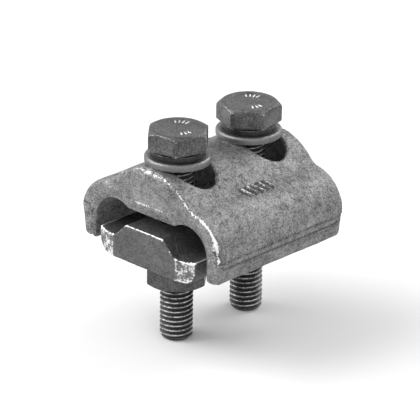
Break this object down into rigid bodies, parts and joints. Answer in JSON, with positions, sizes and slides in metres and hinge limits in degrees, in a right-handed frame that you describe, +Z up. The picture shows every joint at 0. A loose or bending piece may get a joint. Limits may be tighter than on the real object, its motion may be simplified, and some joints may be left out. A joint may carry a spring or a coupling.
{
  "type": "parallel groove clamp",
  "caption": "Hat-shaped cast saddle drawn against a grooved pressure plate by hexagon bolts, to join parallel conductors.",
  "frame": {"origin": "on the vertical centre line midway between the two bolts, level with the ends of the bolts", "axes": "+Z up along the bolts towards their heads, +Y along the conductors, +X across the two grooves"},
  "size_m": [0.0564, 0.058, 0.0664],
  "materials": {
    "saddle_casting": "satin cast, grainy",
    "plate_casting": "as cast, mottled",
    "bolt_steel": "dull dark zinc",
    "spring_steel": "dark, oiled",
    "washer_zinc": "zinc with a bright rim",
    "nut_steel": "dull dark zinc"
  },
  "bodies": {
    "saddle": {"upper_body": "saddle_casting", "front_flat_washer": "washer_zinc", "rear_flat_washer": "washer_zinc"},
    "pressure_plate": {"lower_body": "plate_casting", "front_nut": "nut_steel", "rear_nut": "nut_steel"},
    "front_screw": {"front_bolt": "bolt_steel", "front_spring_washer": "spring_steel"},
    "rear_screw": {"rear_bolt": "bolt_steel", "rear_spring_washer": "spring_steel"}
  },
  "joints": [
    {"name": "plate_travel", "type": "slide", "parent": "saddle", "child": "pressure_plate", "axis": [0, 0, 1], "range_m": [-0.01597, 0.00368]},
    {"name": "front_bolt_turn", "type": "hinge", "parent": "saddle", "child": "front_screw", "pos_m": [0, -0.015, 0.06], "axis": [0, 0, 1], "range_deg": [-885, 3835]},
    {"name": "rear_bolt_turn", "type": "hinge", "parent": "saddle", "child": "rear_screw", "pos_m": [0, 0.015, 0.06], "axis": [0, 0, 1], "range_deg": [-885, 3835]}
  ],
  "couplings": [
    {"joint": "front_bolt_turn", "follows": "plate_travel", "rad_per_m": -4188.8},
    {"joint": "rear_bolt_turn", "follows": "plate_travel", "rad_per_m": -4188.8}
  ]
}
